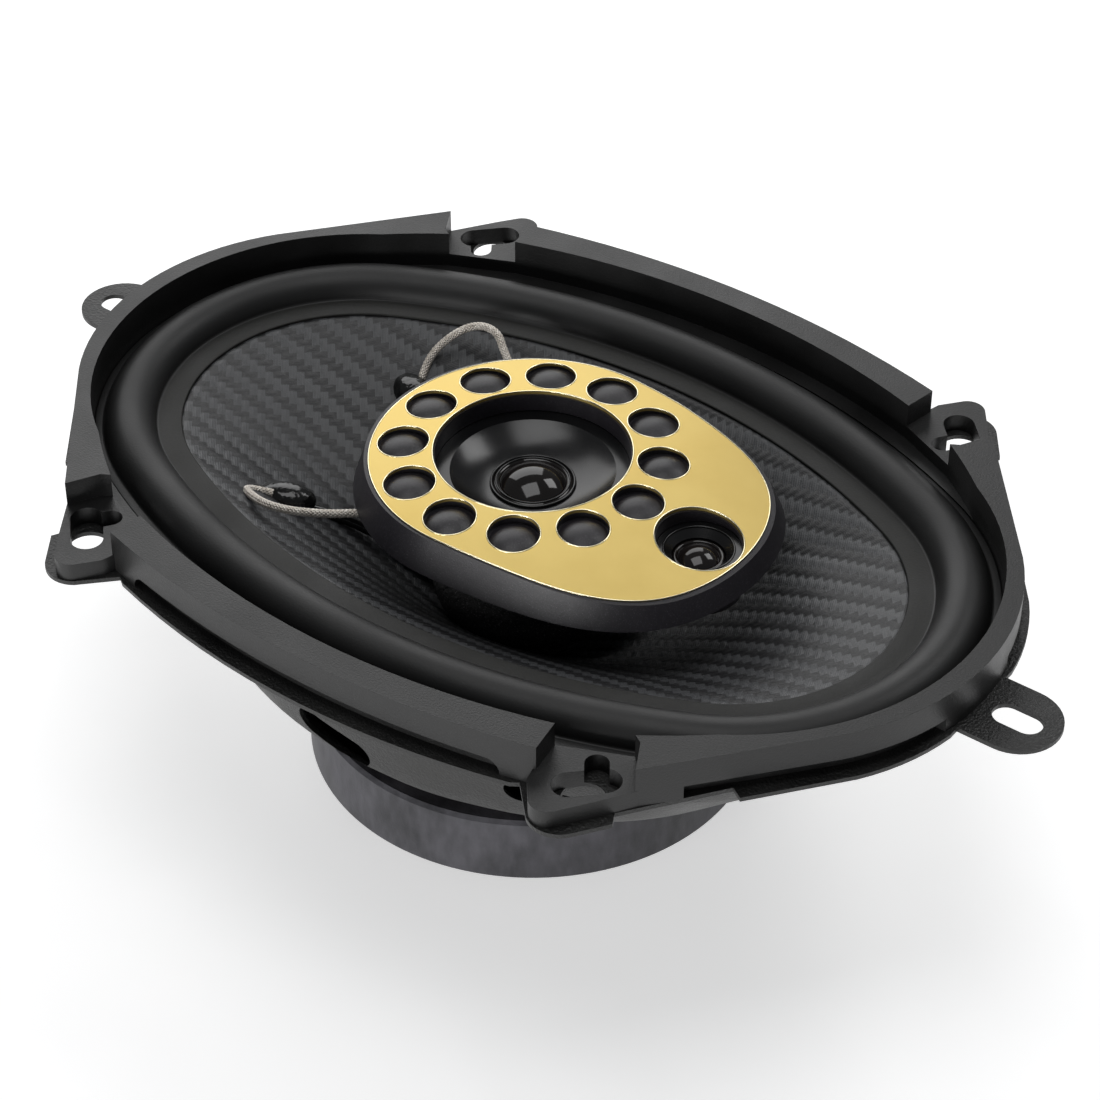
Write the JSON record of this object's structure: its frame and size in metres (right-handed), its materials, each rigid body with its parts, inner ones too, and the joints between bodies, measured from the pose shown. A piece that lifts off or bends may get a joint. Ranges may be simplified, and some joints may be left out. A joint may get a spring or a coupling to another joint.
{
  "type": "coaxial car speaker",
  "caption": "Oval coaxial car speaker: stamped basket with ear tabs, notched trim ring, twill cone in a rubber roll, and a drop-shaped gold-faced tweeter head on a post over the cone.",
  "frame": {"origin": "centre of the four corner screw holes, in the rear face of the mounting flange, on the cone axis", "axes": "+Z forward out of the cone, +X along the long axis towards the small tweeter"},
  "size_m": [0.252, 0.1598, 0.0811],
  "materials": {
    "powder_coat": "satin black powder coat with a fine grain",
    "trim_rubber": "matte black moulded trim",
    "surround_rubber": "soft matte rubber",
    "woven_cone": "dark grey embossed twill",
    "foam": "fine-pored black foam",
    "spider_cloth": "resin-stiffened woven cloth",
    "coil_former": "thin rolled foil",
    "coil_wire": "enamelled wire",
    "plated_steel": "dull plated steel",
    "ferrite": "ground ferrite, dark grey",
    "rivet_steel": "zinc plated",
    "post_metal": "die cast post",
    "terminal_plastic": "moulded black nylon",
    "terminal_metal": "tinned brass blade",
    "tinsel_braid": "silvery beige tinsel braid",
    "adhesive": "glossy black adhesive",
    "bezel_plastic": "satin black plastic with a fine sparkle grain",
    "gold_metal": "satin gold anodised plate with bright cut edges",
    "dish_gloss": "glossy black dish",
    "dome_film": "glossy black film",
    "neodymium": "nickel plated",
    "capacitor_sleeve": "dark blue shrink sleeve"
  },
  "bodies": {
    "frame": {"basket": "powder_coat", "gasket_trim": "trim_rubber", "surround": "surround_rubber", "spider": "spider_cloth", "top_plate": "plated_steel", "ferrite_magnet": "ferrite", "t_yoke": "plated_steel", "basket_rivets": "rivet_steel", "tweeter_post": "post_metal", "post_nut": "rivet_steel", "terminal_block": "terminal_plastic", "terminal_positive": "terminal_metal", "terminal_negative": "terminal_metal", "front_lead_near": "tinsel_braid", "front_lead_far": "tinsel_braid", "rear_lead_positive": "tinsel_braid", "rear_lead_negative": "tinsel_braid", "tweeter_bezel": "bezel_plastic", "tweeter_back_cover": "bezel_plastic", "gold_trim_plate": "gold_metal", "cover_screws": "rivet_steel", "mid_dish": "dish_gloss", "mid_dome_surround": "dome_film", "mid_top_ring": "plated_steel", "mid_pole_cap": "plated_steel", "mid_magnet": "neodymium", "mid_yoke_cup": "plated_steel", "super_dish": "dish_gloss", "super_dome_surround": "dome_film", "super_top_ring": "plated_steel", "super_pole_cap": "plated_steel", "super_magnet": "neodymium", "super_yoke_cup": "plated_steel", "mid_capacitor": "capacitor_sleeve", "super_capacitor": "capacitor_sleeve"},
    "cone_assembly": {"cone": "woven_cone", "dust_ring": "foam", "voice_coil_former": "coil_former", "voice_coil_winding": "coil_wire", "lead_glue_near": "adhesive", "lead_glue_far": "adhesive"},
    "mid_diaphragm": {"mid_dome": "dome_film", "mid_voice_coil": "coil_wire"},
    "super_diaphragm": {"super_dome": "dome_film", "super_voice_coil": "coil_wire"}
  },
  "joints": [
    {"name": "cone_travel", "type": "slide", "parent": "frame", "child": "cone_assembly", "axis": [0, 0, 1], "range_m": [-0.0035, 0.0035], "stiffness_N_per_m": 2500, "deforming": ["surround", "spider", "front_lead_near", "front_lead_far", "rear_lead_positive", "rear_lead_negative"]},
    {"name": "mid_travel", "type": "slide", "parent": "frame", "child": "mid_diaphragm", "axis": [0, 0, 1], "range_m": [-0.0003, 0.0003], "stiffness_N_per_m": 1500, "deforming": ["mid_dome_surround"]},
    {"name": "super_travel", "type": "slide", "parent": "frame", "child": "super_diaphragm", "axis": [0, 0, 1], "range_m": [-0.0002, 0.0002], "stiffness_N_per_m": 1500, "deforming": ["super_dome_surround"]}
  ]
}
